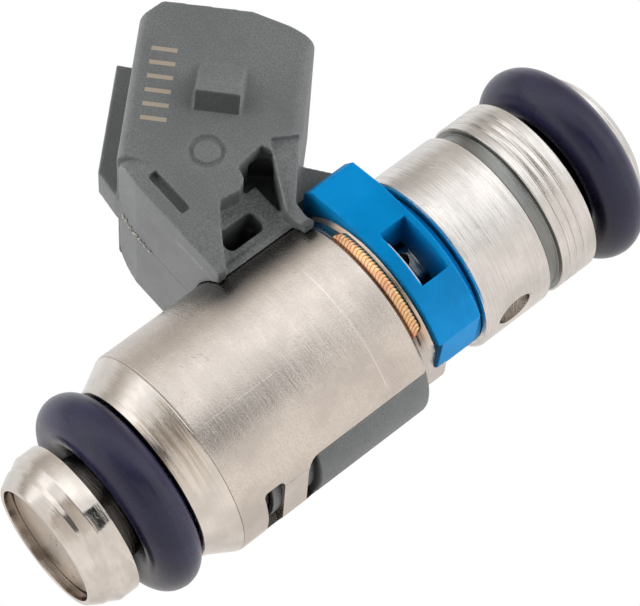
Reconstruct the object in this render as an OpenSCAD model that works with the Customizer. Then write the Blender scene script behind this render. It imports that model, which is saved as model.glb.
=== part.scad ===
// Side-fed look, top-fed port fuel injector with a two-blade connector.
// Millimetres. +Z runs along the valve axis from the nozzle to the fuel inlet,
// +X points to the side the connector leaves from. z = 0 lies in the nozzle's pilot land.

/* [Nozzle end] */
// Radius of the pilot land at the nozzle tip
pilot_r = 5.45; // [5.2:0.05:5.7]
// Radius of the thin lip around the spray opening
tip_lip_r = 4.5; // [4.2:0.05:4.8]
// Height of the tip's front edge
tip_z = -2.3; // [-2.8:0.1:-2.1]
// Upper end of the pilot land, where the seal groove starts
pilot_top = 0.84; // [0.5:0.02:1.2]
// Upper wall of the lower seal groove
cone_z0 = 5.28; // [5.2:0.02:5.6]
// Radius where the cone starts
cone_r0 = 6.35; // [6.1:0.05:6.6]
// Height where the cone meets the can
cone_z1 = 7.6; // [7:0.1:8.2]

/* [Seals] */
// Height of the lower seal's centre
seal_z = 3.5; // [3.3:0.05:3.6]
// Height of the upper seal's centre
top_seal_z = 41.05; // [40.8:0.05:41.3]
// Outer radius of both seals
seal_out_r = 7.25; // [7.2:0.05:7.4]
// Section radius of both seals
seal_wire_r = 1.75; // [1.6:0.01:1.78]

/* [Can and collar] */
// Outer radius of the can
can_r = 7.5; // [7.3:0.05:7.7]
// Wall thickness of the can
can_wall = 0.6; // [0.5:0.05:0.8]
// Top of the can
can_top = 23; // [22.5:0.1:23.5]
// Radius of the collar above the can
collar_r = 6.44; // [6.2:0.02:6.6]
// Top of the collar
collar_top = 25.75; // [25.5:0.05:26]
// Half width of the can's slot opposite the connector
slot_half = 3; // [2.5:0.1:3.5]

/* [Inlet] */
// Outer radius of the inlet body
inlet_r = 6.44; // [6.2:0.02:6.6]
// Lower face of the inlet body's wide part
inlet_z0 = 28.8; // [28.7:0.05:29.3]
// Outer radius of the neck that passes through the coil
neck_r = 4; // [3.9:0.05:4.1]
// Top face of the inlet
inlet_top = 43.75; // [43.7:0.05:44.1]
// Radius of the inlet's end flange
flange_r = 5.4; // [5.2:0.05:5.6]

/* [Connector] */
// Angle of the connector from the valve axis
conn_angle = 43; // [40:0.5:46]
// Half depth of the connector across the symmetry plane
conn_half = 6.8; // [6.5:0.1:7.1]
// Inner edge of the connector's end face, across the connector
conn_t0 = -8.6; // [-9:0.1:-8.2]
// Outer edge of the connector's end face
conn_t1 = 2.95; // [2.7:0.05:3.2]
// Distance of the connector's mouth along its own direction
conn_mouth = 32.1; // [31:0.1:32.5]
// Wall thickness of the connector's socket
conn_wall = 1.3; // [1.1:0.1:1.5]
// Depth of the connector's socket
conn_depth = 10.8; // [10:0.1:11.2]
// Spacing of the two contact blades
blade_pitch = 5; // [4.8:0.1:5.2]
// Width of a contact blade
blade_w = 2.8; // [2.6:0.1:3]
// Thickness of a contact blade
blade_t = 0.8; // [0.6:0.1:0.9]

/* [Colour ring] */
// Outer radius of the colour ring
ring_r = 7.5; // [7.3:0.05:7.7]
// Lower face of the colour ring
ring_z0 = 24.25; // [24.2:0.05:24.6]
// Upper face of the colour ring's thick part
ring_z1 = 27.8; // [27.4:0.05:28]

/* [Hidden] */
$fn = 96;
eps = 0.01;
gap = 0.02;                       // clearance between parts that only touch
floor_r = seal_out_r - 2 * seal_wire_r - gap;   // floor of both seal grooves
can_in = can_r - can_wall;
bore_r = 3.1;                     // guide bore of the armature
pole_z = 16;                      // lower face of the pole
lift = 0.08;                      // valve lift
arm_top = pole_z - lift;
ball_r = 1.48;
ball_z = 0.62;
spring_z0 = 14.4;
spring_z1 = 20.4;

// ---- helpers ----
module ring(ro, ri, z0, z1) {
  translate([0, 0, z0]) difference() {
    cylinder(r = ro, h = z1 - z0);
    translate([0, 0, -1]) cylinder(r = ri, h = z1 - z0 + 2);
  }
}

module turned(pts) {
  rotate_extrude() polygon(pts);
}

module torus(r, wire, z) {
  translate([0, 0, z]) rotate_extrude() translate([r, 0]) circle(r = wire, $fn = 48);
}

// the connector's own frame: x across it, z towards its mouth
module conn_frame() {
  translate([0, 0, seal_z]) rotate([0, conn_angle, 0]) children();
}

// block with its four long edges rounded: ra on the low side in x, rb on the high side
module soft_block(x0, x1, hy, ra, rb, z0, z1) {
  translate([0, 0, z0]) linear_extrude(z1 - z0) union() {
    translate([x0 + ra, -hy]) square([x1 - x0 - ra - rb, 2 * hy]);
    translate([x0, -hy + ra]) square([x1 - x0 - rb, 2 * (hy - ra)]);
    translate([x0 + ra, -hy + rb]) square([x1 - x0 - ra, 2 * (hy - rb)]);
    for (s = [-1, 1]) {
      translate([x0 + ra, s * (hy - ra)]) circle(r = ra);
      translate([x1 - rb, s * (hy - rb)]) circle(r = rb);
    }
  }
}

// profile in the symmetry plane, given as [x, z], made hy thick to both sides
module side_plate(pts, hy) {
  rotate([90, 0, 0]) translate([0, 0, -hy]) linear_extrude(2 * hy) polygon(pts);
}

// ---- nozzle end ----
module nozzle_body() {
  color([0.74, 0.72, 0.69])
  turned([[bore_r, -1.4], [3.4, -1.4], [3.4, pilot_top], [floor_r, pilot_top],
    [floor_r, cone_z0], [cone_r0, cone_z0], [cone_r0 + 0.1, 5.75],
    [can_r - 0.06, cone_z1 - 0.12], [can_r - 0.06, cone_z1],
    [can_in - gap, cone_z1], [can_in - gap, 8.5], [neck_r, 8.5], [neck_r, 14],
    [bore_r, 14]]);
}

module tip_cap() {
  color([0.76, 0.74, 0.71])
  turned([[4.18, tip_z], [tip_lip_r, tip_z], [4.78, tip_z + 0.45], [5.03, -1.4],
    [5.08, -1.1], [pilot_r, -0.45], [pilot_r, pilot_top], [3.4, pilot_top],
    [3.4, -1.4], [4.18, -1.4]]);
}

module orifice_disc() {
  color([0.72, 0.66, 0.58])
  difference() {
    translate([0, 0, -1.86]) cylinder(r = 4.16, h = 0.46);
    for (a = [0:90:270]) rotate([0, 0, a + 45])
      translate([0.38, 0, -2]) cylinder(r = 0.13, h = 1, $fn = 24);
  }
}

module valve_seat() {
  color([0.62, 0.62, 0.63])
  turned([[0.6, -1.4], [bore_r, -1.4], [bore_r, 1.6], [2.3, 1.6], [2.3, 0.35],
    [1.85, 0.35], [0.6, -0.9]]);
}

module guide_disc() {
  color([0.66, 0.66, 0.67])
  difference() {
    translate([0, 0, 0.35]) cylinder(r = 2.3, h = 0.6);
    translate([0, 0, 0]) cylinder(r = ball_r + 0.04, h = 2);
    for (a = [0:90:270]) rotate([0, 0, a])
      translate([1.92, 0, 0]) cylinder(r = 0.24, h = 2, $fn = 24);
  }
}

// ---- moving valve group ----
module valve_ball() {
  color([0.8, 0.8, 0.8])
  translate([0, 0, ball_z]) sphere(r = ball_r);
}

module needle_tube() {
  color([0.7, 0.7, 0.71])
  difference() {
    ring(1, 0.6, 1.6, 12.6);
    translate([0, 0, ball_z]) sphere(r = ball_r);
    for (a = [0, 90]) rotate([0, 0, a])
      translate([0, 0, 4]) rotate([90, 0, 0]) cylinder(r = 0.3, h = 4, center = true, $fn = 24);
  }
}

module armature() {
  color([0.55, 0.55, 0.56])
  turned([[1, 11.2], [bore_r - 0.25, 11.2], [bore_r - 0.05, 11.4],
    [bore_r - 0.05, arm_top], [1.62, arm_top], [1.62, spring_z0], [0.7, spring_z0],
    [0.7, 12.6], [1, 12.6]]);
}

// coil spring made of short straight pieces of wire
module return_spring() {
  color([0.6, 0.6, 0.62])
  for (k = [0:1:71]) hull() {
    spring_bead(k);
    spring_bead(k + 1);
  }
}

module spring_bead(k) {
  rotate([0, 0, k * 30])
    translate([1.25, 0, spring_z0 + 0.22 + k * (spring_z1 - spring_z0 - 0.44) / 72])
      sphere(r = 0.2, $fn = 8);
}

module spring_sleeve() {
  color([0.68, 0.68, 0.69])
  turned([[0.9, spring_z1], [1.7, spring_z1], [1.7, 25], [1.1, 25], [0.9, 24.6]]);
}

// ---- coil ----
module spacer_ring() {
  color([0.58, 0.57, 0.55])
  ring(neck_r, bore_r, 14, pole_z);
}

module coil_bobbin() {
  color([0.2, 0.2, 0.21])
  turned([[4.92, 8.65], [6.5, 8.65], [6.5, 9.4], [5.2, 9.4], [5.2, 20.4], [6.5, 20.4],
    [6.5, 21.2], [4.92, 21.2], [4.92, 20.3], [neck_r + gap, 20.3], [neck_r + gap, 9.55],
    [4.92, 9.55]]);
}

module coil_winding() {
  color([0.66, 0.35, 0.17])
  ring(6.3, 5.2, 9.4, 20.4);
}

module bobbin_seal_lower() {
  color([0.1, 0.1, 0.12]) torus(4.46, 0.42, 9.1);
}

module bobbin_seal_upper() {
  color([0.1, 0.1, 0.12]) torus(4.46, 0.42, 20.75);
}

// ---- can, collar and weld ----
module can() {
  color([0.76, 0.73, 0.7])
  difference() {
    turned([[can_in, cone_z1], [can_r, cone_z1], [can_r, can_top - 0.25],
      [can_r - 0.25, can_top], [can_in, can_top]]);
    // long slot opposite the connector
    translate([-10, -slot_half, 13.05]) cube([6, 2 * slot_half, 12]);
    // small window below it
    translate([-10, -2.9, 9.5]) cube([6, 5.8, 1.6]);
    // bridge between the two is pressed flat
    translate([-10, -slot_half, 11]) cube([10 - 7.1, 2 * slot_half, 2.2]);
    // opening the connector leaves through
    translate([4, -4.2, 16.3]) cube([6, 8.4, 10]);
  }
}

module collar() {
  color([0.78, 0.76, 0.73])
  difference() {
    turned([[neck_r, 22], [can_in - gap, 22], [can_in - gap, can_top],
      [7.2, can_top + 0.02], [6.95, 23.5], [collar_r + 0.1, 24],
      [collar_r, 24.12], [collar_r, collar_top - 0.1], [collar_r - 0.1, collar_top],
      [neck_r, collar_top]]);
    translate([4.9, -4.2, 21]) cube([4, 8.4, 2.9]);
    // gap over the long slot
    translate([-10, -slot_half, 21]) cube([10 - 5.75, 2 * slot_half, 1.98]);
    // flat on the side of the slot
    translate([-10, -5, 23]) cube([10 - 5.97, 10, 4]);
  }
}

// weld beads in the corner between can and collar
module weld_bead_left() {
  color([0.72, 0.5, 0.27])
  rotate([0, 0, 68]) rotate_extrude(angle = 68)
    polygon([[6.985, 23.51], [7.22, 23.04], [7.3, 23.04], [7.38, 23.22], [7.25, 23.6],
      [7.02, 23.86], [6.8, 23.86], [6.75, 23.8]]);
}

module weld_bead_right() {
  color([0.72, 0.5, 0.27])
  mirror([0, 1, 0]) rotate([0, 0, 68]) rotate_extrude(angle = 68)
    polygon([[6.985, 23.51], [7.22, 23.04], [7.3, 23.04], [7.38, 23.22], [7.25, 23.6],
      [7.02, 23.86], [6.8, 23.86], [6.75, 23.8]]);
}

// ---- connector ----
// neck and body of the connector in the symmetry plane
neck_pts = [[7.6, 15.85], [13.5, 15.85], [15.5, 16.15], [16.25, 16.6], [17, 18.5], [11, 24.5],
  [9.8, 26.4], [6.25, 23.05], [4.3, 22.8], [4.3, 17], [7.6, 17]];
// end of the connector seen from its flank: [across, along]
head_pts = [[conn_t1, 20.2], [conn_t1, conn_mouth - 1.3], [conn_t1 - 1.4, conn_mouth],
  [-4.3, conn_mouth], [-6.9, conn_mouth - 0.75], [conn_t0, conn_mouth - 1.55], [conn_t0, 19]];

module conn_block() {
  intersection() {
    conn_frame() soft_block(conn_t0, conn_t1, conn_half, 1, 0.8, 18, conn_mouth + 1);
    conn_frame() side_plate(head_pts, conn_half + 1);
  }
  difference() {
    side_plate(neck_pts, conn_half);
    // lower edges of the flanks rounded off
    for (s = [-1, 1]) difference() {
      translate([13.9, s > 0 ? 5 : -7.2, 15]) cube([2.8, 2.2, 3.3]);
      translate([13.9, s * 5, 14]) cylinder(r = 1.8, h = 6);
    }
  }
}

// shell that sits on the can under the connector
module saddle() {
  intersection() {
    ring(8.3, can_r + gap, 15, 22.2);
    translate([2, -6.2, 14.5]) cube([8, 12.4, 8]);
  }
  intersection() {
    ring(8.3, can_r + gap, 22.1, 22.85);
    translate([4.2, -7, 22]) cube([6, 14, 1]);
  }
}

// recess in a flank: profile [x, z], from the flank down to the web
module side_pocket(s) {
  rotate([90, 0, 0]) translate([0, 0, s > 0 ? -7.2 : 2.4]) linear_extrude(4.8)
    polygon([[4, 15], [8.2, 15], [8.2, 18.5], [8.57, 18.71], [9.23, 19.27], [9, 20.71],
      [9.51, 21.47], [10.42, 21.73], [10.68, 23.86], [9.96, 24.16], [6.21, 22.08], [4, 22.1]]);
  translate([4, s > 0 ? 0.6 : -3, 15]) cube([4.2, 2.4, 3.5]);
  // rounded corner towards the can
  difference() {
    translate([8, s > 0 ? 6 : -7.2, 15]) cube([1, 1.2, 3.6]);
    translate([9, s * 6, 14]) cylinder(r = 0.8, h = 6);
  }
}

// shallow step of the flank under the colour ring
module flank_step(s) {
  rotate([90, 0, 0]) translate([0, 0, s > 0 ? -7.2 : 6.45]) linear_extrude(0.75)
    polygon([[10.72, 24.63], [9.4, 26.7], [3.9, 23], [3.9, 22.1], [6, 22.1], [10, 24.2]]);
}

// ramped latch nub on a flank
module latch_nub(s) {
  conn_frame() translate([-4.4, 0, 0]) rotate([90, 0, 90]) linear_extrude(2.95)
    polygon([[s * (conn_half - 0.4), 24.1], [s * conn_half, 24.1],
      [s * (conn_half + 1.3), 24.85], [s * conn_half, 27.9], [s * (conn_half - 0.4), 27.9]]);
}

module connector_housing() {
  color([0.42, 0.43, 0.43])
  difference() {
    union() {
      difference() {
        conn_block();
        // room for the can and what is inside it
        translate([0, 0, 10]) cylinder(r = 7.9, h = 20);
        for (s = [-1, 1]) {
          side_pocket(s);
          flank_step(s);
        }
      }
      saddle();
      // web behind the colour ring
      side_plate([[7.3, 22], [7.3, 27.7], [9.3, 26.2], [11, 26.4], [10.4, 25]], 3.4);
      // keying rib on the outer wall
      side_plate([[15, 16.15], [16.1, 16.15], [18.15, 16.4], [23.8, 22.5], [22, 24]], 1.35);
      for (s = [-1, 1]) latch_nub(s);
      // stem through the can's opening
      intersection() {
        union() {
          ring(8.1, 6.52, 16.35, 23.9);
          ring(8.1, neck_r + gap, 21.22, 23.9);
        }
        translate([4.92, -4.15, 16.35]) cube([5, 8.3, 7.5]);
      }
      // jacket around the coil with the strip that fills the long slot
      ring(can_in - gap, 6.52, 10.4, 21.98);
      ring(can_in - gap, neck_r + gap, 21.22, 21.98);
      intersection() {
        ring(can_r - 0.03, 6.52, 13.8, 22.95);
        translate([-10, -slot_half + gap, 13]) cube([6, 2 * (slot_half - gap), 12]);
      }
    }
    // socket
    conn_frame() soft_block(conn_t0 + conn_wall, conn_t1 - conn_wall,
      conn_half - conn_wall, 0.8, 0.6, conn_mouth - conn_depth, conn_mouth + 2);
    // windows in the saddle
    for (s = [-1, 1]) translate([6.9, s > 0 ? 1 : -5.2, 18.2]) cube([2.1, 4.2, 3]);
    // engraved slots
    for (s = [-1, 1]) translate([10, s * conn_half - 0.25, 16.8]) cube([3.5, 0.5, 0.68]);
    // room for the terminals
    terminal_shape(1);
    terminal_shape(-1);
  }
}

module terminal_shape(s) {
  y0 = s * blade_pitch / 2 - blade_t / 2;
  tm = (conn_t0 + conn_t1) / 2;
  conn_frame() translate([tm - blade_w / 2, y0, 19]) cube([blade_w, blade_t, 9.6]);
  conn_frame() translate([tm - blade_w / 2, y0, 28.59])
    rotate([90, 0, 0]) translate([0, 0, -blade_t]) linear_extrude(blade_t)
      polygon([[0, 0], [blade_w, 0], [blade_w - 0.7, 0.8], [0.7, 0.8]]);
  translate([0, y0 + blade_t, 0]) rotate([90, 0, 0]) linear_extrude(blade_t)
    polygon([[5.6, 21.22], [6.4, 21.22], [6.4, 22.2], [9.4, 20.6], [11.6, 18.4 + 1],
      [12.3, 20.3], [10.3, 22.2], [6.6, 23.2], [5.6, 23.2]]);
}

module terminal_left() {
  color([0.72, 0.71, 0.66]) terminal_shape(1);
}

module terminal_right() {
  color([0.72, 0.71, 0.66]) terminal_shape(-1);
}

// ---- colour ring ----
module colour_ring() {
  color([0, 0.45, 0.72])
  difference() {
    union() {
      // thick body: flat towards the connector, round behind, one arm longer than the other
      intersection() {
        translate([0, 0, ring_z0]) linear_extrude(ring_z1 - ring_z0) union() {
          circle(r = ring_r);
          polygon([[0, -ring_r], [3.5, -7.2], [6.2, -6.4], [6.9, -5.2], [6.9, 5.2],
            [6.2, 6.4], [3.5, 7.2], [0, ring_r]]);
        }
        union() {
          translate([-3.9, -9, 20]) cube([10.8, 18, 12]);
          translate([-6.4, 3.9, 20]) cube([5, 6, 12]);
        }
      }
      // flat end of the longer arm
      translate([0, 0, ring_z0 + 0.35]) linear_extrude(ring_z1 - ring_z0 - 0.35)
        polygon([[-6.38, 4], [-6.25, 0.3], [-5.7, -0.6], [-4, -0.6], [-4, 4]]);
      // thin upper part that carries on round the neck
      ring(5.92, neck_r + gap, 25.9, inlet_z0 - 0.1);
    }
    // room for the collar and the neck
    intersection() {
      translate([0, 0, 20]) cylinder(r = collar_r + gap, h = collar_top + gap - 20);
      translate([gap - 6.01, -9, 19]) cube([16, 18, 12]);
    }
    translate([0, 0, 19]) cylinder(r = neck_r + gap, h = 20);
    // side windows
    for (s = [-1, 1]) translate([-3.4, s > 0 ? 3 : -9, 25.2]) cube([4.2, 6, 2.15]);
  }
}

// ---- inlet ----
module inlet_body() {
  color([0.78, 0.76, 0.74])
  difference() {
    turned([[1.7, pole_z], [neck_r, pole_z], [neck_r, inlet_z0], [inlet_r - 0.15, inlet_z0],
      [inlet_r, inlet_z0 + 0.15], [inlet_r, 34.55], [6.05, 34.6], [6.05, 35.3],
      [inlet_r, 35.35], [inlet_r, 35.9], [inlet_r - 0.12, 35.98], [inlet_r, 36.06],
      [inlet_r, 36.6], [inlet_r - 0.12, 36.68], [inlet_r, 36.76], [inlet_r, 37.3],
      [inlet_r - 0.12, 37.38], [inlet_r, 37.46], [inlet_r, 38.3], [inlet_r - 0.12, 38.42],
      [floor_r, 38.42], [floor_r, 42.9], [flange_r, 42.9], [flange_r, inlet_top - 0.45],
      [flange_r - 0.5, inlet_top], [3.35, inlet_top], [3.05, inlet_top - 0.3],
      [3.05, 27.5], [1.7, 26.2]]);
    // hole in the neck
    translate([0, 3.2, 26.45]) rotate([-90, 0, 0]) cylinder(r = 0.55, h = 2, $fn = 32);
    // dimple in the wide part
    rotate([0, 0, 177]) translate([5.2, 0, 31.2]) rotate([0, 90, 0])
      cylinder(r = 1.35, h = 3, $fn = 48);
  }
}

module lower_oring() {
  color([0.13, 0.12, 0.18]) torus(seal_out_r - seal_wire_r, seal_wire_r, seal_z);
}

module upper_oring() {
  color([0.13, 0.12, 0.18]) torus(seal_out_r - seal_wire_r, seal_wire_r, top_seal_z);
}

// ---- fuel filter in the inlet ----
module filter_cap() {
  color([0.72, 0.6, 0.36])
  turned([[2.55, 41.2], [3.05, 41.2], [3.05, 43.2], [2.8, 43.45], [2.55, 43.2]]);
}

module filter_frame() {
  color([0.78, 0.76, 0.7])
  union() {
    ring(2.54, 2.1, 41.2, 43.1);
    for (a = [0:90:270]) rotate([0, 0, a]) translate([1.75, -0.25, 34])
      cube([0.42, 0.5, 7.25]);
    translate([0, 0, 33.2]) cylinder(r = 2.17, h = 0.8);
  }
}

module filter_mesh() {
  color([0.82, 0.8, 0.7])
  ring(1.74, 1.62, 34, 41.2);
}

nozzle_body();
tip_cap();
orifice_disc();
valve_seat();
guide_disc();
valve_ball();
needle_tube();
armature();
return_spring();
spring_sleeve();
spacer_ring();
coil_bobbin();
coil_winding();
bobbin_seal_lower();
bobbin_seal_upper();
can();
collar();
weld_bead_left();
weld_bead_right();
connector_housing();
terminal_left();
terminal_right();
colour_ring();
inlet_body();
lower_oring();
upper_oring();
filter_cap();
filter_frame();
filter_mesh();
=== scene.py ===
"""Fuel injector, look model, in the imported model's frame: +Z from nozzle to inlet, +X the connector's side.

The scene is in metres. Sizes in this script are in mm, and become metres through MM.
"""
import bpy, bmesh, math, random
from mathutils import Matrix, Vector


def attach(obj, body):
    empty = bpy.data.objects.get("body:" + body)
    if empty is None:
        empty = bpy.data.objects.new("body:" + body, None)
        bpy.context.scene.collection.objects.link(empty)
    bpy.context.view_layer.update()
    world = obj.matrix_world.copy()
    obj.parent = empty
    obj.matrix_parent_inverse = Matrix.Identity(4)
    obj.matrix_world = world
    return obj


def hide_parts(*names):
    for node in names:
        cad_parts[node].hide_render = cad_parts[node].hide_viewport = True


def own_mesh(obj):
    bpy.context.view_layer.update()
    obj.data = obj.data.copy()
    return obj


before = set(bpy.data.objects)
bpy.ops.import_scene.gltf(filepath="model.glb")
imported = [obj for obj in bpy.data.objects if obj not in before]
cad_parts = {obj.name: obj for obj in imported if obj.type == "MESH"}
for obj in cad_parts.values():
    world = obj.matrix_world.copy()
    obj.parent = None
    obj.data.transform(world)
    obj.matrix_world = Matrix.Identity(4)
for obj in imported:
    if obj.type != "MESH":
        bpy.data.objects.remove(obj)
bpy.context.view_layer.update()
random.seed(7)
MM = 0.001
BODY = "injector_body"
scene = bpy.context.scene

# sizes that several pieces share
BORE, GROOVE = 3.1, 3.73                      # radii of the nozzle's bore and of both seal grooves' floors
CAN, CAN_IN, GAP = 7.5, 6.9, 0.02             # can's outer and inner radius, and the play inside it
INLET = 6.44                                  # radius of the inlet's bands
CONN_ANGLE, CONN_Z = math.radians(43), 3.5    # the connector's axis: its tilt, and where it meets the valve's axis
WELD_FROM, WELD_TO, RIPPLE = 68.0, 136.0, 2.1  # the weld's ends and the pitch of its ripples, in degrees
BOW = 0.9                                     # how far a ripple bows, in ripples

# ------------------------------------------------------------------ camera
cam = bpy.data.objects.new("camera", bpy.data.cameras.new("camera"))
scene.collection.objects.link(cam)
cam.data.lens = 176.467
cam.data.sensor_width = 36
cam.data.clip_start = 0.01
cam.data.clip_end = 5
cam.matrix_world = Matrix(((-0.648004, 0.689656, -0.323211, -0.0633943),
                           (0.044184, 0.457688, 0.888014, 0.1800746),
                           (0.760354, 0.561157, -0.327055, -0.0443935),
                           (0, 0, 0, 1)))
scene.camera = cam
IMG_R = Vector((-0.648, 0.044, 0.760))        # the studio's directions: right, up, towards the photographer
IMG_U = Vector((0.690, 0.458, 0.561))
IMG_B = Vector((-0.323, 0.888, -0.327))
TARGET = Vector((0, 6, 19.7))                 # the boards are placed round this point
scene.view_settings.view_transform = "Standard"
scene.view_settings.look = "None"


# ------------------------------------------------------------------ node helpers
class Nodes:
    """Short calls for a node tree. Values may be numbers, colours or output sockets."""

    def __init__(self, tree):
        self.t = tree
        self.t.nodes.clear()

    def node(self, kind, **props):
        n = self.t.nodes.new(kind)
        for k, v in props.items():
            setattr(n, k, v)
        return n

    def put(self, socket, v):
        if isinstance(v, bpy.types.NodeSocket):
            self.t.links.new(v, socket)
        elif v is not None:
            if isinstance(v, (tuple, list)) and len(v) == 3 and len(socket.default_value) == 4:
                v = (*v, 1)
            socket.default_value = v

    def math(self, op, *values, clamp=False):
        n = self.node("ShaderNodeMath", operation=op, use_clamp=clamp)
        for socket, v in zip(n.inputs, values):
            self.put(socket, v)
        return n.outputs[0]

    def add(self, a, b, clamp=False):
        return self.math("ADD", a, b, clamp=clamp)

    def sub(self, a, b):
        return self.math("SUBTRACT", a, b)

    def mul(self, first, *rest):
        for v in rest:
            first = self.math("MULTIPLY", first, v)
        return first

    def away(self, v, centre=0.0):
        """Distance of a value from another."""
        return self.math("ABSOLUTE", self.sub(v, centre))

    def length(self, a, b):
        return self.math("SQRT", self.add(self.mul(a, a), self.mul(b, b)))

    def dot(self, vector, direction):
        n = self.node("ShaderNodeVectorMath", operation="DOT_PRODUCT")
        self.put(n.inputs[0], vector)
        self.put(n.inputs[1], direction)
        return n.outputs["Value"]

    def rng(self, v, a, b, c=0.0, d=1.0, smooth=True):
        """Turns a..b into c..d, and holds the ends."""
        n = self.node("ShaderNodeMapRange", interpolation_type="SMOOTHSTEP" if smooth else "LINEAR")
        self.put(n.inputs["Value"], v)
        for k, w in (("From Min", a), ("From Max", b), ("To Min", c), ("To Max", d)):
            n.inputs[k].default_value = w
        return n.outputs[0]

    def fall(self, v, a, b):
        """1 up to a, 0 from b on."""
        return self.rng(v, a, b, 1.0, 0.0)

    def window(self, v, a, b, c, d):
        """1 from b to c, 0 below a and above d."""
        return self.mul(self.rng(v, a, b), self.fall(v, c, d))

    def between(self, v, lo, hi):
        return self.mul(self.math("GREATER_THAN", v, lo), self.math("LESS_THAN", v, hi))

    def mix(self, f, a, b):
        n = self.node("ShaderNodeMix", data_type="RGBA")
        for socket, v in (("Factor", f), ("A", a), ("B", b)):
            self.put(n.inputs[socket], v)
        return n.outputs["Result"]


class Mat(Nodes):
    """A material: its shader, and the place on the part in mm as p, x, y and z."""

    def __init__(self, name):
        self.material = bpy.data.materials.new(name)
        self.material.use_nodes = True
        super().__init__(self.material.node_tree)
        self.out = self.node("ShaderNodeOutputMaterial")
        self.shader = self.node("ShaderNodeBsdfPrincipled")
        self.t.links.new(self.shader.outputs[0], self.out.inputs[0])
        scale = self.node("ShaderNodeVectorMath", operation="SCALE")
        self.t.links.new(self.node("ShaderNodeTexCoord").outputs["Object"], scale.inputs[0])
        scale.inputs["Scale"].default_value = 1 / MM
        self.p = scale.outputs[0]
        parts = self.node("ShaderNodeSeparateXYZ")
        self.t.links.new(self.p, parts.inputs[0])
        self.x, self.y, self.z = parts.outputs

    def set(self, **kw):
        for k, v in kw.items():
            self.put(self.shader.inputs[k.replace("_", " ")], v)

    def vec(self, x, y, z):
        n = self.node("ShaderNodeCombineXYZ")
        for socket, v in zip(n.inputs, (x, y, z)):
            self.put(socket, v)
        return n.outputs[0]

    def around(self, t, across, along):
        """Noise place for lines that run round the axis: fine across them, long along them."""
        return self.vec(self.mul(t, across), self.mul(self.x, along), self.mul(self.y, along))

    def noise(self, scale, detail=2.0, rough=0.5, dist=0.0, at=None):
        n = self.node("ShaderNodeTexNoise")
        for socket, v in (("Vector", at or self.p), ("Scale", scale), ("Detail", detail),
                          ("Roughness", rough), ("Distortion", dist)):
            self.put(n.inputs[socket], v)
        return n.outputs[0]

    def voronoi(self, scale):
        n = self.node("ShaderNodeTexVoronoi")
        self.put(n.inputs["Vector"], self.p)
        self.put(n.inputs["Scale"], scale)
        return n.outputs[0]

    def bump(self, h, depth, normal=None):
        n = self.node("ShaderNodeBump")
        for socket, v in (("Strength", 1.0), ("Distance", depth * MM), ("Height", h), ("Normal", normal)):
            self.put(n.inputs[socket], v)
        return n.outputs[0]

    def radius(self):
        return self.length(self.x, self.y)

    def profile(self):
        """Place along a turned outline: height, and radius where it runs across."""
        return self.add(self.z, self.mul(self.radius(), 0.87))

    def azimuth(self):
        """Angle round the axis in degrees, 0 on +Y and rising towards -X: it jumps only on the -Y side."""
        return self.mul(self.math("ARCTAN2", self.x, self.y), -57.2958)

    def from_x(self):
        """Angle from the +X side in radians, the same on both flanks."""
        return self.math("ABSOLUTE", self.math("ARCTAN2", self.y, self.x))


def tone(base, f, lift=0.0):
    """A colour made lighter or darker."""
    return tuple(min(1, c * f + lift) for c in base)


# ------------------------------------------------------------------ materials
# near black, painted as shade in the seam round the disc and on the nozzle's seal groove floor
SHADE_BLACK = (0.03, 0.027, 0.025)


def steel(name, base, rough, lines=0.5, grain=0.3, aniso=0.0, line_freq=9.0, tint=None):
    """Turned or satin steel: circular tool lines, soft grain, faint long scratches, cloudy colour."""
    m = Mat(name)
    t = m.profile()
    turn = m.noise(1.0, 3.0, 0.65, at=m.around(t, line_freq, 0.35))
    wide = m.noise(1.0, 2.0, 0.5, at=m.around(t, line_freq * 0.22, 0.1))
    fine = m.noise(6.5, 3.0, 0.75)
    cloud = m.noise(0.35, 3.0, 0.6)
    # hairline scratches: thin ridges of a stretched, slanting noise, in patches
    slant = m.vec(m.add(m.mul(m.z, 2.6), m.mul(m.x, 1.6)), m.mul(m.y, 0.25), m.mul(m.x, 0.25))
    hair = m.fall(m.away(m.noise(1.6, 1.0, 0.5, at=slant), 0.5), 0.0, 0.006)
    hair = m.mul(hair, m.rng(m.noise(0.6, 2.0, 0.6), 0.56, 0.68))
    col = m.mix(m.rng(cloud, 0.3, 0.7), tone(base, 0.86), tone(base, 1.07))
    col = m.mix(m.mul(m.rng(turn, 0.42, 0.68), 0.5 * lines), col, tone(base, 0.78))
    col = m.mix(m.mul(m.rng(fine, 0.40, 0.62), 0.45 * grain), col, tone(base, 0.80))
    col = m.mix(m.mul(hair, 0.5), col, tone(base, 1.25))
    if tint is not None:
        col = tint(m, col)
    rr = m.add(rough, m.mul(m.sub(fine, 0.5), 0.16 * grain))
    rr = m.add(rr, m.mul(m.sub(turn, 0.5), 0.22 * lines))
    rr = m.add(rr, m.mul(hair, 0.1), clamp=True)
    normal = None
    for height, depth in ((turn, 0.022 * lines), (wide, 0.030 * lines), (fine, 0.012 * grain), (hair, 0.008)):
        normal = m.bump(height, depth, normal)
    m.set(Base_Color=col, Metallic=1.0, Roughness=rr, Normal=normal)
    if aniso:
        m.set(Anisotropic=aniso, Anisotropic_Rotation=0.25,
              Tangent=m.node("ShaderNodeTangent", direction_type="RADIAL", axis="Z").outputs[0])
    return m.material


def heat_tint(m, col):
    """Brown and straw colours of the collar next to the weld, on both flanks."""
    near = m.mul(m.fall(m.away(m.z, 23.5), 0.45, 0.75), m.window(m.x, -6.3, -5.0, 2.6, 4.4))
    warm = m.mix(m.rng(m.add(m.z, m.mul(m.noise(1.2, 2.0, 0.5), 0.2)), 23.85, 24.1),
                 (0.34, 0.20, 0.13), (0.62, 0.44, 0.30))
    return m.mix(m.mul(near, 0.92), col, warm)


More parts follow.
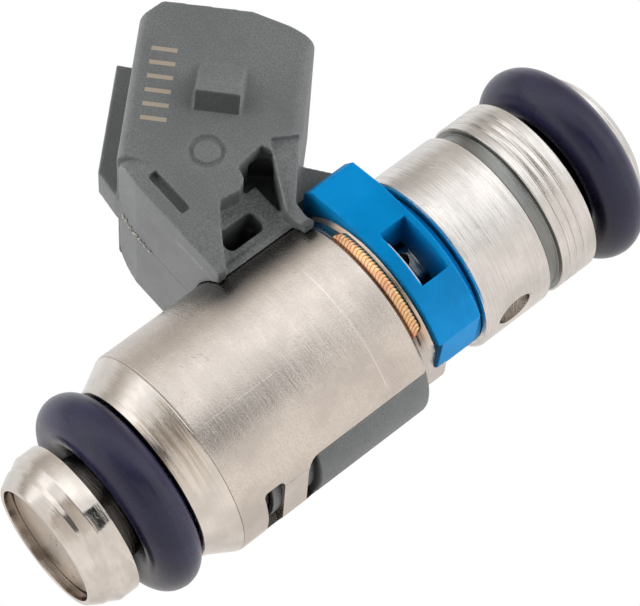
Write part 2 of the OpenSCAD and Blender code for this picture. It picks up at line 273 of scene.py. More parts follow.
def tip_marks(m, col):
    """Tan streaks round the tip cap. The wall inside its lip is dull and brownish."""
    streak = m.noise(1.0, 2.0, 0.6, at=m.around(m.z, 1.6, 0.5))
    col = m.mix(m.mul(m.rng(streak, 0.42, 0.66), 0.35), col, (0.50, 0.44, 0.38))
    wall = m.mul(m.fall(m.radius(), 4.22, 4.3), m.rng(m.z, -2.25, -2.1))
    return m.mix(m.mul(wall, 0.8), col, (0.36, 0.31, 0.27))


STAINS = ((0.3, -3.05, 0.22), (-0.4, -2.95, 0.3), (-1.9, -2.4, 0.18), (2.1, 1.6, 0.15))    # x, y, size


def disc_stains_and_seam_shade(m, col):
    """Painted shade in the seam at the rim of the disc, and a few brown stains beside it."""
    wob = m.mul(m.sub(m.noise(2.0, 2.0, 0.6), 0.5), 0.5)
    for x, y, size in STAINS:
        d = m.length(m.sub(m.x, x), m.sub(m.y, y))
        col = m.mix(m.mul(m.fall(m.add(d, wob), size * 0.3, size), 0.7), col, (0.26, 0.13, 0.05))
    # painted shade: the seam at the disc's rim is darkened
    return m.mix(m.rng(m.radius(), 3.98, 4.03), col, SHADE_BLACK)


def cone_marks(m, col):
    """Tan tool lines on one side of the cone, and painted shade on the polished floor of the seal groove."""
    tool = m.rng(m.noise(1.0, 3.0, 0.7, at=m.around(m.profile(), 3.2, 0.12)), 0.44, 0.62)
    near = m.window(m.azimuth(), -8.0, -2.0, 18.0, 60.0)
    col = m.mix(m.mul(near, m.add(0.15, m.mul(tool, 0.6))), col, (0.44, 0.36, 0.27))
    # painted shade: the seal groove's floor is darkened, fading out towards the cone
    return m.mix(m.rng(m.radius(), 4.1, 4.5, 0.93, 0.0), col, SHADE_BLACK)


def inlet_marks(m, col):
    """Painted shade darkens the neck and the seal groove, except a patch of the neck left bright. The wide groove
    has a grey band.
    """
    unshaded = m.window(m.azimuth(), -8, -3, 20, 30)
    unshaded = m.mul(unshaded, m.rng(m.radius(), 3.88, 3.95))        # the neck's hole stays dark inside
    # painted shade: the neck and the groove floor are darkened, much less on the unshaded patch
    dark = m.mul(m.rng(m.radius(), 4.1, 4.5, 0.9, 0.0), m.sub(1.0, m.mul(unshaded, 0.95)))
    col = m.mix(dark, col, (0.02, 0.02, 0.022))
    band = m.mul(m.between(m.z, 34.38, 35.42), m.math("LESS_THAN", m.radius(), 6.3))
    return m.mix(m.mul(band, 0.9), col, (0.20, 0.21, 0.20))


def can_marks(m, col):
    """One scratch along the can and one round it, and painted shade beside the connector's saddle."""
    az = m.azimuth()
    wob = m.mul(m.sub(m.noise(0.5, 2.0), 0.5), 0.25)
    along = m.mul(m.fall(m.away(az, m.add(18.0, wob)), 0.12, 0.32), m.window(m.z, 8.2, 8.4, 14.0, 14.4))
    across = m.mul(m.fall(m.away(m.z, m.add(19.9, m.mul(wob, 0.2))), 0.015, 0.05),
                   m.window(az, -17, -13, 57, 61))
    # painted shadow and painted reflection of the connector: the can is darkened beside the saddle
    saddle_shade = m.mul(m.fall(m.from_x(), 0.98, 1.32), m.rng(m.z, 13.0, 15.5))
    col = m.mix(m.mul(saddle_shade, 0.8), col, (0.10, 0.10, 0.10))
    return m.mix(m.mul(m.math("MAXIMUM", along, across), 0.38), col, (0.95, 0.92, 0.88))


def plastic(name, base, rough, grain=0.5, speck=0.25, size=6.5, edge=0.0, marks=None, gloss=0.38):
    """Moulded plastic: matt grain, pale specks, flow clouds, and a painted highlight on the edges."""
    m = Mat(name)
    g = m.noise(size, 4.0, 0.7)
    cloud = m.noise(0.25, 3.0, 0.55)
    flow = m.noise(0.5, 3.0, 0.6, 0.6, at=m.vec(m.mul(m.x, 0.5), m.mul(m.y, 0.5), m.mul(m.z, 1.6)))
    dots = m.mul(m.fall(m.voronoi(size * 0.55), 0.0, 0.16), m.rng(m.noise(size * 0.5, 1.0, 0.5), 0.52, 0.6))
    col = m.mix(m.rng(cloud, 0.3, 0.7), tone(base, 0.88), tone(base, 1.10))
    col = m.mix(m.mul(m.rng(flow, 0.45, 0.75), 0.25), col, tone(base, 1.25))
    col = m.mix(m.mul(m.fall(g, 0.40, 0.60), 0.8 * grain), col, tone(base, 0.68))
    col = m.mix(m.mul(dots, speck), col, tone(base, 1.9, 0.05))
    if edge:
        soft = m.node("ShaderNodeBevel", samples=6)
        soft.inputs["Radius"].default_value = 0.22 * MM
        bend = m.dot(soft.outputs[0], m.node("ShaderNodeNewGeometry").outputs["Normal"])
        # painted highlight: edges are made lighter, in patches
        edge_highlight = m.mul(m.fall(bend, 0.93, 0.995), m.rng(g, 0.35, 0.6, 0.5, 1.0))
        col = m.mix(m.mul(edge_highlight, edge), col, tone(base, 1.5, 0.02))
    if marks is not None:
        col = marks(m, col)
    m.set(Base_Color=col, Roughness=m.add(rough, m.mul(m.sub(g, 0.5), 0.2), clamp=True),
          Normal=m.bump(cloud, 0.05, m.bump(g, 0.035 * grain)), Specular_IOR_Level=gloss)
    return m.material


def connector_marks(m, col):
    """Plain tan bars on one flank, shade under the latch nub, dust on the saddle, the mould's parting line."""
    sin, cos = math.sin(CONN_ANGLE), math.cos(CONN_ANGLE)
    zz = m.sub(m.z, CONN_Z)
    s = m.add(m.mul(m.x, sin), m.mul(zz, cos))                 # along the connector
    t = m.sub(m.mul(m.x, cos), m.mul(zz, sin))                 # across it
    flank = m.math("ABSOLUTE", m.y)
    start, end, step = 23.0, 28.9, 1.05
    bars = m.math("LESS_THAN", m.math("FRACT", m.math("DIVIDE", m.sub(s, start), step)), 0.30)
    bars = m.mul(bars, m.between(s, start, end), m.between(t, 0.15, 1.85), m.math("GREATER_THAN", m.y, 6.72))
    col = m.mix(m.mul(bars, 0.8), col, (0.40, 0.33, 0.25))
    nub = m.add(24.22, m.mul(m.sub(flank, 6.8), 0.577))        # its sloping underside
    under = m.mul(m.math("LESS_THAN", s, nub), m.math("GREATER_THAN", flank, 6.87))
    col = m.mix(m.mul(under, 0.62), col, (0.03, 0.032, 0.032))
    dust = m.mul(m.between(flank, 4.85, 5.35), m.between(m.x, 5.4, 9.5), m.rng(m.noise(8.0, 3.0, 0.8), 0.48, 0.62))
    col = m.mix(m.mul(dust, 0.55), col, (0.36, 0.37, 0.37))
    part = m.mul(m.math("LESS_THAN", flank, 0.045), m.math("LESS_THAN", m.z, 16.25), m.between(m.x, 8.0, 15.2))
    return m.mix(m.mul(part, 0.75), col, (0.03, 0.03, 0.03))


def rubber(name, base, rough):
    """Matt rubber with faint moulding and handling lines that run round the ring."""
    m = Mat(name)
    lines = m.noise(1.0, 3.0, 0.6, at=m.vec(m.mul(m.z, 2.2), m.mul(m.radius(), 2.2), m.mul(m.x, 0.06)))
    cloud = m.noise(0.5, 3.0, 0.6)
    m.set(Base_Color=m.mix(m.rng(cloud, 0.3, 0.7), tone(base, 0.85), tone(base, 1.2)),
          Roughness=m.add(rough, m.mul(m.sub(cloud, 0.5), 0.25), clamp=True),
          Normal=m.bump(m.noise(14.0, 2.0, 0.6), 0.004, m.bump(lines, 0.018)), Specular_IOR_Level=0.36)
    return m.material


def weld_metal(name):
    """Gold and copper colours, with a dark line of painted shade in the trough of each ripple of the weld."""
    m = Mat(name)
    across = m.rng(m.z, 23.04, 23.98, smooth=False)
    bow = m.sub(1.0, m.math("POWER", m.away(m.mul(across, 2.0), 1.0), 2.0))
    turns = m.math("DIVIDE", m.sub(m.mul(m.from_x(), 57.2958), WELD_FROM), RIPPLE)
    phase = m.math("FRACT", m.add(turns, m.mul(bow, BOW)))
    gold = m.mix(m.rng(m.noise(1.1, 2.0, 0.5), 0.35, 0.65), (0.86, 0.52, 0.24), (0.80, 0.40, 0.24))
    gold = m.mix(m.rng(m.noise(3.0, 2.0, 0.6), 0.50, 0.7), gold, (0.92, 0.72, 0.40))
    # painted shade: a dark line in the trough of each ripple
    gold = m.mix(m.mul(m.fall(m.away(phase, 0.5), 0.05, 0.22), 0.75), gold, (0.26, 0.10, 0.04))
    gold = m.mix(m.mul(m.rng(m.away(across, 0.5), 0.43, 0.5), 0.7), gold, (0.25, 0.13, 0.08))
    m.set(Base_Color=gold, Metallic=1.0, Roughness=0.22, Normal=m.bump(m.noise(9.0, 2.0), 0.004))
    return m.material


def filter_cloth(name):
    """Open weave: threads round the filter and along it."""
    m = Mat(name)
    weave = m.math("MAXIMUM", m.math("SINE", m.mul(m.z, 40.0)), m.math("SINE", m.mul(m.azimuth(), 1.2)))
    m.set(Base_Color=m.mix(m.rng(weave, -0.2, 0.9), (0.30, 0.28, 0.22), (0.70, 0.66, 0.54)), Roughness=0.7,
          Normal=m.bump(weave, 0.02))
    return m.material


M = {
    "can": steel("satin_steel_m", (0.68, 0.61, 0.55), 0.27, lines=0.35, grain=1.0, tint=can_marks),
    "turned": steel("turned_steel_m", (0.77, 0.73, 0.69), 0.20, lines=1.25, grain=0.35, aniso=0.5,
                    tint=inlet_marks),
    "cone": steel("cone_steel_m", (0.74, 0.68, 0.62), 0.075, lines=0.75, grain=0.25, aniso=0.6, line_freq=14,
                  tint=cone_marks),
    "tip": steel("tip_steel_m", (0.76, 0.70, 0.64), 0.06, lines=0.25, grain=0.2, tint=tip_marks),
    "disc": steel("orifice_m", (0.56, 0.48, 0.40), 0.34, lines=0.2, grain=0.6, tint=disc_stains_and_seam_shade),
    "collar": steel("collar_steel_m", (0.68, 0.62, 0.57), 0.24, lines=0.8, grain=0.4, aniso=0.3, tint=heat_tint),
    "weld": weld_metal("weld_m"),
    "hard": steel("hard_steel_m", (0.60, 0.60, 0.61), 0.22, lines=0.6, grain=0.4),
    "magnetic": steel("magnetic_steel_m", (0.45, 0.45, 0.46), 0.32, lines=0.8, grain=0.5),
    "spacer": steel("spacer_m", (0.52, 0.49, 0.46), 0.3, lines=0.8, grain=0.5),
    "copper": steel("copper_m", (0.62, 0.27, 0.11), 0.3, lines=1.0, grain=0.3, line_freq=6),
    "brass": steel("brass_m", (0.66, 0.50, 0.24), 0.28, lines=0.5, grain=0.5),
    "tinned": steel("tinned_m", (0.66, 0.64, 0.58), 0.3, lines=0.2, grain=0.9),
    "grey": plastic("grey_plastic_m", (0.162, 0.169, 0.169), 0.48, grain=1.0, speck=0.35, size=7.5, edge=0.5,
                    marks=connector_marks, gloss=0.22),
    "blue": plastic("blue_plastic_m", (0.0, 0.215, 0.52), 0.42, grain=0.2, speck=0.05, edge=0.2, gloss=0.06),
    "flash": plastic("flash_m", (0.42, 0.40, 0.36), 0.6, grain=1.0),
    "bobbin": plastic("bobbin_plastic_m", (0.03, 0.03, 0.032), 0.5),
    "filter": plastic("filter_plastic_m", (0.56, 0.53, 0.45), 0.45),
    "cloth": filter_cloth("filter_cloth_m"),
    "ring": rubber("ring_rubber_m", (0.018, 0.017, 0.044), 0.27),
    "seal": rubber("seal_rubber_m", (0.012, 0.012, 0.014), 0.5),
}


# ------------------------------------------------------------------ mesh helpers
def soften(me, angle):
    """Smooth shading that keeps edges over the angle sharp. At 0 it changes nothing."""
    if angle:
        me.shade_smooth()
        me.set_sharp_from_angle(angle=math.radians(angle))


def link(name, me, mat, smooth=35):
    o = bpy.data.objects.new(name, me)
    scene.collection.objects.link(o)
    if mat is not None:
        me.materials.clear()
        me.materials.append(mat)
    soften(me, smooth)
    return o


def from_bm(name, bm, mat, smooth=35):
    bmesh.ops.recalc_face_normals(bm, faces=bm.faces)
    me = bpy.data.meshes.new(name)
    bm.to_mesh(me)
    bm.free()
    return link(name, me, mat, smooth)


def baked(o, smooth=35):
    """Turns the object's modifiers into its mesh."""
    dg = bpy.context.evaluated_depsgraph_get()
    dg.update()
    me = bpy.data.meshes.new_from_object(o.evaluated_get(dg))
    o.modifiers.clear()
    o.data = me
    soften(me, smooth)
    return o


def even_normals(o):
    """Flat faces keep flat shading; the small corner faces take up the turn."""
    o.modifiers.new("normals", "WEIGHTED_NORMAL").keep_sharp = True
    return baked(o, 0)


def rect(x0, x1, y0, y1):
    return [(x0, y0), (x1, y0), (x1, y1), (x0, y1)]


def circle(x, y, r, n):
    return [(x + r * math.cos(2 * math.pi * i / n), y + r * math.sin(2 * math.pi * i / n)) for i in range(n)]


def rounded(pts, r, n=4):
    """Closed 2-D outline with its corners rounded by r (a number, or one per point)."""
    out = []
    k = len(pts)
    for i in range(k):
        p, a, b = Vector(pts[i]), Vector(pts[i - 1]), Vector(pts[(i + 1) % k])
        rad = r[i] if isinstance(r, (list, tuple)) else r
        u, v = (a - p), (b - p)
        lu, lv = u.length, v.length
        if lu < 1e-9 or lv < 1e-9:
            continue
        u, v = u / lu, v / lv
        ang = math.acos(max(-1, min(1, u.dot(v))))
        if rad <= 0 or ang > math.radians(168):
            out.append(tuple(p))
            continue
        d = min(rad / math.tan(ang / 2), lu * 0.45, lv * 0.45)
        rad = d * math.tan(ang / 2)
        c = p + (u + v).normalized() * (rad / math.sin(ang / 2))
        s, e = p + u * d - c, p + v * d - c
        full = s.angle(e)
        for j in range(n + 1):
            f = j / n
            w = (s * math.sin((1 - f) * full) + e * math.sin(f * full)) / max(1e-9, math.sin(full))
            out.append(tuple(c + w))
    return out


def skin(bm, rows, closed=True):
    """Faces between rows of vertices. Each row is a loop; closed joins the last row to the first."""
    k = len(rows[0])
    for a, b in zip(rows, rows[1:] + rows[:1] if closed else rows[1:]):
        for j in range(k):
            bm.faces.new((a[j], b[j], b[(j + 1) % k], a[(j + 1) % k]))


def lathe(name, outline, mat=None, n=288):
    """Closed (r, z) outline turned about Z."""
    bm = bmesh.new()
    rows = []
    for i in range(n):
        a = 2 * math.pi * i / n
        ca, sa = math.cos(a) * MM, math.sin(a) * MM
        rows.append([bm.verts.new((r * ca, r * sa, z * MM)) for r, z in outline])
    skin(bm, rows)
    bmesh.ops.remove_doubles(bm, verts=bm.verts, dist=1e-8)
    return from_bm(name, bm, mat)


def plug(r0, r1, z0, z1):
    """A tool in the shape of a turned ring."""
    return lathe("tool", rect(r0, r1, z0, z1), n=96)


def prism(pts, h0, h1, axis="Z", corner=0.0):
    """A tool: an outline in the plane of the other two axes, extruded from h0 to h1 along one axis."""
    pts = rounded(pts, corner, 5) if corner else pts
    bm = bmesh.new()

    def at(p, h):
        q = {"Z": (p[0], p[1], h), "Y": (p[0], h, p[1]), "X": (h, p[0], p[1])}[axis]
        return bm.verts.new(Vector(q) * MM)
    lo = [at(p, h0) for p in pts]
    hi = [at(p, h1) for p in pts]
    k = len(pts)
    for i in range(k):
        bm.faces.new((lo[i], lo[(i + 1) % k], hi[(i + 1) % k], hi[i]))
    bm.faces.new(lo)
    bm.faces.new(hi)
    return from_bm("tool", bm, None, 0)


def box(x, y, z):
    return prism(rect(*x, *y), *z)


def cut(o, *tools, op="DIFFERENCE"):
    """Cuts the tools out of a piece, or joins them on, and removes them."""
    for t in tools:
        b = o.modifiers.new("cut", "BOOLEAN")
        b.operation = op
        b.solver = "EXACT"
        b.object = t
    baked(o)
    for t in tools:
        bpy.data.objects.remove(t)
    return o


def bevel(o, width, segments):
    b = o.modifiers.new("bevel", "BEVEL")
    b.width = width * MM
    b.segments = segments
    b.limit_method = "ANGLE"
    b.angle_limit = math.radians(40)
    b.use_clamp_overlap = False
    return baked(o)


def moulded(o, voxel, passes, keep):
    """Rounds every edge the way a mould does: fine even mesh, smoothed, then thinned out."""
    r = o.modifiers.new("remesh", "REMESH")
    r.mode = "VOXEL"
    r.voxel_size = voxel * MM
    s = o.modifiers.new("smooth", "SMOOTH")
    s.factor = 0.5
    s.iterations = passes
    o.modifiers.new("thin", "DECIMATE").ratio = keep
    baked(o, 0)
    o.data.shade_smooth()
    return o


def dupe(node, name, mat):
    """A new mesh with a CAD node's shape, its facets joined, ready to be worked on."""
    bm = bmesh.new()
    bm.from_mesh(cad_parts[node].data)
    bmesh.ops.remove_doubles(bm, verts=bm.verts, dist=2e-7)
    bmesh.ops.dissolve_limit(bm, angle_limit=math.radians(0.6), verts=bm.verts, edges=bm.edges)
    return from_bm(name, bm, mat)


def rider(piece):
    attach(piece, BODY)


def stand_for(piece, node, turned=False):
    """The piece shows in place of a CAD node. Turned pieces get even normals."""
    if turned:
        even_normals(piece)
    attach(piece, BODY)
    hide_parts(node)


def conn(t, s):
    """(x, z) of a point in the connector's own frame: t across and s along it."""
    sin, cos = math.sin(CONN_ANGLE), math.cos(CONN_ANGLE)
    return (s * sin + t * cos, CONN_Z + s * cos - t * sin)


# ------------------------------------------------------------------ nozzle end
nozzle = lathe("nozzle_body_v", rounded(
    [(BORE, -1.4), (3.4, -1.4), (3.4, 0.84), (GROOVE, 0.84), (GROOVE, 5.28), (6.35, 5.28), (6.46, 5.75),
     (7.44, 7.48), (7.44, 7.6), (CAN_IN - GAP, 7.6), (CAN_IN - GAP, 8.5), (4.0, 8.5), (4.0, 14), (BORE, 14)], 0.1),
    M["cone"])
stand_for(nozzle, "nozzle_body", True)

tip = lathe("tip_cap_v", rounded(
    [(4.18, -2.3), (4.5, -2.3), (4.78, -1.85), (5.03, -1.4), (5.08, -1.1), (5.45, -0.45), (5.45, 0.84),
     (3.4, 0.84), (3.4, -1.4), (4.18, -1.4)],
    [0.04, 0.13, 0.3, 0.12, 0.2, 0.14, 0.05, 0, 0, 0.03]), M["tip"])
stand_for(tip, "tip_cap", True)

disc = lathe("orifice_disc_v", rounded(
    [(0.0, -1.40), (0.0, -1.60), (2.6, -1.62), (3.98, -1.65), (4.04, -1.5), (4.16, -1.48), (4.16, -1.40)],
    [0, 0, 0.3, 0.05, 0.03, 0, 0]), M["disc"])
SPRAY, SPRAY_R = 0.27, 0.07                   # place and radius of the four spray holes
cut(disc, *(prism(circle(SPRAY * sx, SPRAY * sy, SPRAY_R, 24), -2, -1)
            for sx, sy in ((1, 1), (-1, 1), (-1, -1), (1, -1))))
stand_for(disc, "orifice_disc")

# ------------------------------------------------------------------ can
can = lathe("can_v", rounded([(CAN_IN, 7.6), (CAN, 7.6), (CAN, 22.75), (7.25, 23), (CAN_IN, 23)],
                             [0.03, 0.1, 0.1, 0.06, 0.03]), M["can"])
cut(can,
    prism(rect(-3, 3, 13.05, 26), -10, -6, axis="X", corner=0.9),             # long slot
    prism(rect(-2.9, 2.9, 9.5, 11.1), -10, -6, axis="X", corner=0.35),        # small window
    prism(rect(-3, 3, 11.0, 13.2), -10, -7.1, axis="X"),                      # flat between them
    prism(rect(-4.2, 4.2, 16.3, 26), 4, 10, axis="X"))                        # under the connector
stand_for(can, "can", True)

# ------------------------------------------------------------------ collar
collar = lathe("collar_v", rounded(
    [(4, 22), (CAN_IN - GAP, 22), (CAN_IN - GAP, 23), (7.22, 23.02), (6.98, 23.45), (6.92, 23.8), (7.02, 24.02),
     (7.06, 24.2), (6.98, 24.23), (6.44, 24.23), (6.44, 25.65), (6.34, 25.75), (4, 25.75)],
    [0, 0, 0, 0.05, 0.3, 0.2, 0.15, 0.03, 0.03, 0.02, 0.08, 0.08, 0]), M["collar"])
cut(collar,
    prism(rect(-4.2, 4.2, 21, 23.9), 4.9, 9, axis="X"),
    prism(rect(-3, 3, 21, 22.98), -10, -5.75, axis="X"),
    prism(rect(-5, 5, 23, 27), -10, -5.97, axis="X"))
stand_for(collar, "collar", True)


# ------------------------------------------------------------------ weld: overlapping crescents
def weld(name, sign):
    """Rippled bead in the corner between can and collar, on the flank of the sign. Points are (r, z)."""
    steps, k = 700, 14
    foot, head = Vector((7.36, 22.99)), Vector((6.93, 23.93))                 # its edges on can and collar
    outward = Vector((0.909, 0.416))
    behind = (Vector((6.9, 23.88)), Vector((6.93, 23.45)), Vector((7.2, 22.96)))
    bm = bmesh.new()
    rows = []
    for i in range(steps + 1):
        f = i / steps
        a = WELD_FROM + (WELD_TO - WELD_FROM) * f
        end = min(1.0, f * 26, (1 - f) * 20)
        row = []
        for j in range(k + 1):
            g = j / k
            bow = 1 - (2 * g - 1) ** 2
            phase = (a - WELD_FROM) / RIPPLE + BOW * bow + 0.05 * math.sin(a * 0.9)
            crest = 0.5 + 0.5 * math.cos(2 * math.pi * (phase % 1.0))
            h = (0.07 + 0.24 * bow ** 0.5) + 0.035 * crest * bow ** 0.5
            h = 0.02 + (h - 0.02) * math.sqrt(max(0.0, end))
            p = foot.lerp(head, g) + outward * h * 0.92
            p.x = min(p.x, 7.42)
            row.append(p)
        ar = math.radians(a)
        rows.append([bm.verts.new(Vector((p.x * math.cos(ar), sign * p.x * math.sin(ar), p.y)) * MM)
                     for p in (*row, *behind)])
    skin(bm, rows, closed=False)
    bm.faces.new(rows[0])
    bm.faces.new(rows[-1])
    return from_bm(name, bm, M["weld"], 50)


for side, sign in (("left", 1), ("right", -1)):
    stand_for(weld("weld_" + side + "_v", sign), "weld_bead_" + side)

# ------------------------------------------------------------------ inlet
fine_rings = [p for z in (35.98, 36.58, 37.2) for p in ((INLET, z), (INLET - 0.17, z + 0.15), (INLET, z + 0.33))]
inlet = lathe("inlet_body_v", rounded(
    [(1.7, 16.02), (4, 16.02), (4, 28.8), (INLET - 0.15, 28.8), (INLET, 28.95), (INLET, 34.22),
     (INLET - 0.12, 34.36), (6.0, 34.4), (6.0, 35.36), (INLET - 0.05, 35.4), (INLET, 35.46), *fine_rings,
     (INLET, 38.3), (INLET - 0.12, 38.42), (GROOVE, 38.42), (GROOVE, 42.9), (5.4, 42.9), (5.4, 43.3),
     (4.9, 43.75), (3.35, 43.75), (3.05, 43.45), (3.05, 27.5), (1.7, 26.2)], 0.07, 3), M["turned"], n=320)
hole = prism(circle(-0.25, 26.45, 0.55, 48), 3.2, 5.2, axis="Y")
dimple = lathe("tool", [(0.01, 5.2), (1.33, 5.2), (1.33, 6.15), (1.72, 6.5), (1.72, 8), (0.01, 8)], n=96)
dimple.matrix_world = (Matrix.Rotation(math.radians(179), 4, "Z") @ Matrix.Translation((0, 0, 31.4 * MM))
                       @ Matrix.Rotation(math.pi / 2, 4, "Y"))
bpy.context.view_layer.update()
cut(inlet, hole, dimple)
stand_for(inlet, "inlet_body", True)


# ------------------------------------------------------------------ sealing rings
def oring(name, height, node):
    """Ring with faint moulding lines round its inside and its outside."""
    n, k, mean, thick, line = 288, 72, 5.5, 1.75, 0.012
    bm = bmesh.new()
    rows = []
    for i in range(n):
        a = 2 * math.pi * i / n
        row = []
        for j in range(k):
            b = 2 * math.pi * j / k
            deg = math.degrees(b)
            w = (thick - line + line * math.exp(-(((deg + 180) % 360 - 180) / 2.4) ** 2)
                 + line * math.exp(-((deg - 180) / 3.0) ** 2))
            r = mean + w * math.cos(b)
            row.append(bm.verts.new(Vector((r * math.cos(a), r * math.sin(a), height + w * math.sin(b))) * MM))
        rows.append(row)
    skin(bm, rows)
    o = from_bm(name, bm, M["ring"], 0)
    o.data.shade_smooth()
    stand_for(o, node)


oring("lower_oring_v", 3.5, "lower_oring")
oring("upper_oring_v", 41.05, "upper_oring")

# ------------------------------------------------------------------ colour ring
ring = dupe("colour_ring", "colour_ring_v", M["blue"])
moulded(ring, 0.06, 5, 0.3)
stand_for(ring, "colour_ring")

# ------------------------------------------------------------------ connector
housing = dupe("connector_housing", "connector_housing_v", M["grey"])
cut(housing, box((-9, 4.19), (-9, 9), (9, 24)), plug(0.5, 6.95, 9, 16.3))     # the jacket: new pieces follow
SLOT = rect(10, 13.5, 16.8, 17.48)
cut(housing, box((2, 8.36), (-9, 9), (12, 15.85)),                            # below the neck
    box((2, 8.19), (-9, 9), (15.8, 22.1)),                                    # thick saddle: a thinner one follows
    prism(SLOT, 6.25, 7.2, axis="Y"), prism(SLOT, -7.2, -6.25, axis="Y"))
MARK = (12.5, 20.9)
for sign in (1, -1):                                                          # plain round mark on each flank
    mark = prism(circle(*MARK, 1.2, 64), sign * 6.62, sign * 7.0, axis="Y")
    cut(mark, prism(circle(*MARK, 0.85, 64), sign * 6.5, sign * 7.1, axis="Y"))
    cut(housing, mark)

# the saddle: a flat floor on the can, with a square opening on each flank and a foot that stands out
seat = prism([(4.9, 5.3), (5.86, 5.3), (6.15, 5.08), (9.3, 5.08), (9.3, -5.08), (6.15, -5.08), (5.86, -5.3),
              (4.9, -5.3)], 15.87, 22.3)
stem = box((4.95, 8.3), (-4.1, 4.1), (16.4, 22.3))
cut(seat, plug(0.5, 7.54, 15, 23))
cut(seat, stem, op="UNION")
OPENING = rect(6.6, 8.15, 18.0, 20.85)
cut(seat, prism(OPENING, 1, 6, axis="Y", corner=0.4), prism(OPENING, -6, -1, axis="Y", corner=0.4))
foot = prism([(5.2, 15.85), (9.1, 15.85), (9.1, 19.05), (8.86, 18.88), (5.62, 16.7), (5.2, 16.45)],
             -6.74, 6.74, axis="Y")
cut(foot, plug(0.5, 7.54, 15, 23))
cut(seat, foot, op="UNION")
cut(housing, seat, op="UNION")
# floors of the side pockets and of the socket, so nothing shows through
cut(housing, prism([(7.6, 20.5), (9.1, 20.5), (9.1, 19.4), (11.2, 19.0), (11.2, 24.3), (7.6, 24.3)],
                   -3.2, 3.2, axis="Y"), op="UNION")
cut(housing, prism([conn(-7.4, 21.95), conn(-7.4, 22.8), conn(1.7, 22.8), conn(1.7, 21.95)], -5.7, 5.7, axis="Y"),
    op="UNION")
moulded(housing, 0.085, 4, 0.3)
stand_for(housing, "connector_housing")

# crumbs of moulding flash along the parting line, under the neck
bm = bmesh.new()
for i in range(90):
    f = random.random()
    size = random.choice((0.03, 0.045, 0.06, 0.085)) * MM
    place = Vector((11.9 + 3.2 * f + random.gauss(0, 0.1), random.gauss(0, 0.16), 0))
    place.z = 15.79 + max(0.0, place.x - 13.5) * 0.15
    bmesh.ops.create_icosphere(bm, subdivisions=1, radius=size, matrix=Matrix.Translation(place * MM)
                               @ Matrix.Diagonal((random.uniform(0.6, 1.5), random.uniform(0.6, 1.4), 0.7, 1)))
crumbs = from_bm("flash_crumbs", bm, M["flash"], 0)
rider(crumbs)

# ------------------------------------------------------------------ what shows in the can's slot and window
jacket = lathe("coil_jacket_v", rounded(rect(6.52, 6.88, 10.4, 21.98), 0.08), M["grey"], 192)
stand_for(jacket, "connector_housing")
strip = lathe("slot_strip_v", rect(6.7, 7.47, 13.8, 22.95), M["grey"])
cut(strip, box((-10, -4), (-2.98, 2.98), (13, 24)), op="INTERSECT")
bevel(strip, 0.18, 3)
stand_for(strip, "connector_housing")
# a black band over the winding below the jacket: it stands in for the shade low in the can's window
shade_filler = lathe("coil_shade_filler", rounded(rect(6.31, 6.48, 9.43, 10.36), 0.04), M["bobbin"], 144)
rider(shade_filler)

# ------------------------------------------------------------------ return spring
# the spring keeps its CAD shape, on a mesh of its own
spring = dupe("return_spring", "return_spring_v", M["hard"])
stand_for(spring, "return_spring")
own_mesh(spring)

# ------------------------------------------------------------------ materials of the parts that keep their CAD shape
CAD_LOOKS = {"valve_seat": "hard", "guide_disc": "hard", "valve_ball": "hard", "needle_tube": "hard",
             "armature": "magnetic", "spring_sleeve": "hard", "spacer_ring": "spacer",
             "coil_bobbin": "bobbin", "coil_winding": "copper", "bobbin_seal_lower": "seal",
             "bobbin_seal_upper": "seal", "terminal_left": "tinned", "terminal_right": "tinned",
             "filter_cap": "brass", "filter_frame": "filter", "filter_mesh": "cloth"}
for node, key in CAD_LOOKS.items():
    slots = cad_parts[node].data.materials
    for i in range(len(slots)):
        slots[i] = M[key]
    if not slots:
        slots.append(M[key])

# ------------------------------------------------------------------ studio: the light comes from the world
world = bpy.data.worlds.new("studio")
scene.world = world
world.cycles.sampling_method = "NONE"
world.use_nodes = True
w = Nodes(world.node_tree)
ray = w.node("ShaderNodeTexCoord").outputs["Generated"]
right, up, back = (w.dot(ray, direction) for direction in (IMG_R, IMG_U, IMG_B))


def background(colour, strength):
    n = w.node("ShaderNodeBackground")
    w.put(n.inputs["Color"], colour)
    w.put(n.inputs["Strength"], strength)
    return n.outputs[0]


def switch(f, a, b):
    n = w.node("ShaderNodeMixShader")
    for socket, v in zip(n.inputs, (f, a, b)):
        w.put(socket, v)
    return n.outputs[0]


# polished surfaces see a studio that changes from below (-90), past the photographer (0), to above (90)
WARM, COOL, TAN = (1, 0.97, 0.945), (0.99, 1.0, 1.01), (1, 0.96, 0.92)
STOPS = [(-180, 0.85, WARM), (-144, 0.80, WARM), (-100, 0.93, WARM), (-63, 1.0, WARM), (-10, 0.95, WARM),
         (25, 1.0, COOL), (36, 1.06, COOL), (46, 1.42, COOL), (62, 1.40, COOL), (74, 1.12, COOL),
         (86, 0.85, TAN), (100, 0.64, TAN), (114, 0.55, TAN), (126, 0.75, TAN), (133, 0.9, COOL),
         (150, 0.93, COOL), (180, 0.85, COOL)]
PEAK = 1.5                                    # the ramp holds colours as a share of this
ramp = w.node("ShaderNodeValToRGB")
w.put(ramp.inputs[0], w.rng(w.math("ARCTAN2", up, back), -math.pi, math.pi, smooth=False))
stops = ramp.color_ramp.elements
while len(stops) > 1:
    stops.remove(stops[-1])
for i, (deg, light, tint) in enumerate(STOPS):
    place = (deg + 180) / 360
    e = stops.new(place) if i else stops[0]
    e.position = place
    e.color = (*(c * light / PEAK for c in tint), 1)

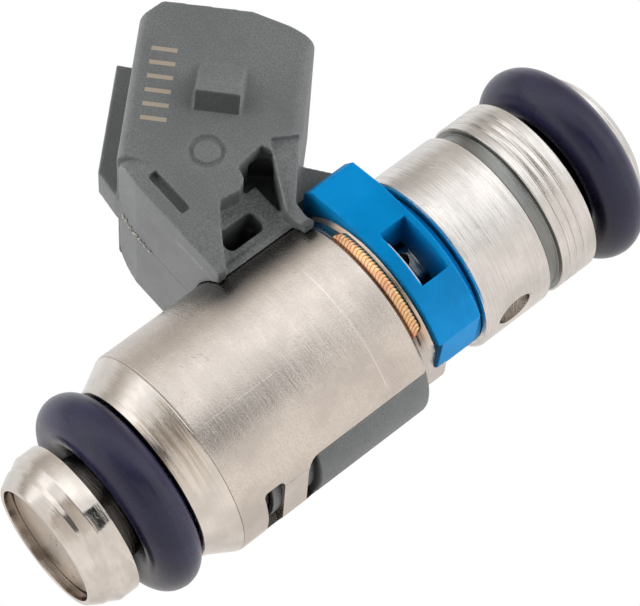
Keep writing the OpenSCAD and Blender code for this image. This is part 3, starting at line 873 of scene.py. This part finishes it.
# matt surfaces are lit from both sides and a little from above: SIDE * right^2 + TOP * up + BASE
BASE, SIDE, TOP = -0.78, 5.5, 1.0
matt = w.math("MULTIPLY_ADD", w.mul(right, right), SIDE, w.math("MULTIPLY_ADD", up, TOP, BASE))
path = w.node("ShaderNodeLightPath").outputs
lit = switch(path["Is Diffuse Ray"], background(ramp.outputs[0], PEAK),
             background((1, 1, 1), w.math("MAXIMUM", matt, 0.03)))
world_out = w.node("ShaderNodeOutputWorld")
w.put(world_out.inputs[0], switch(path["Is Camera Ray"], lit, background((1, 1, 1), 1.0)))


# ------------------------------------------------------------------ boards beside the photographer
def board(name, pts, d, low, high):
    """Flat board, d in front of the object and facing it, seen only in polished surfaces.

    pts are (right, up); its colour goes from low at the bottom to high at the top.
    """
    m = Mat(name + "_m")
    m.t.nodes.remove(m.shader)
    centre = TARGET + IMG_B * d
    heights = [centre.dot(IMG_U) + y for _, y in pts]
    glow = m.node("ShaderNodeEmission")
    m.put(glow.inputs[0], m.mix(m.rng(m.dot(m.p, IMG_U), min(heights), max(heights), smooth=False), low, high))
    m.put(m.out.inputs[0], glow.outputs[0])
    bm = bmesh.new()
    bm.faces.new([bm.verts.new((centre + IMG_R * x + IMG_U * y) * MM) for x, y in pts])
    me = bpy.data.meshes.new(name)
    bm.to_mesh(me)
    bm.free()
    o = link(name, me, m.material, 0)
    o.visible_camera = False
    o.visible_diffuse = False
    o.visible_shadow = False


board("board_dark", [(-175, 28), (-100, 28), (-60, -20), (60, -20), (60, 65), (-175, 65)], 200,
      (0.16, 0.16, 0.16), (0.16, 0.16, 0.16))
board("board_tan", [(-175, 28), (-100, 28), (-60, -20), (20, -125), (-100, -125), (-175, -60)], 200,
      (0.86, 0.82, 0.77), (0.46, 0.41, 0.37))
board("board_near", [(21.4, 22.4), (5.8, 9.0), (30.5, -19.6), (46.1, -6.2)], 60,
      (0.05, 0.06, 0.06), (0.03, 0.03, 0.03))

# ------------------------------------------------------------------ pale floor, under the photographer's eye level
FLOOR_SIZE, FLOOR_Z = 1.2, -0.056             # m
m = Mat("floor_m")
m.set(Base_Color=m.mix(m.rng(m.noise(0.01, 2.0), 0.3, 0.7), (0.86, 0.86, 0.85), (0.90, 0.90, 0.89)), Roughness=0.8)
bm = bmesh.new()
bmesh.ops.create_grid(bm, x_segments=1, y_segments=1, size=FLOOR_SIZE)
me = bpy.data.meshes.new("floor")
bm.to_mesh(me)
bm.free()
floor = link("floor", me, m.material, 0)
floor.location = (0, 0, FLOOR_Z)
floor.visible_glossy = False
floor.visible_diffuse = False
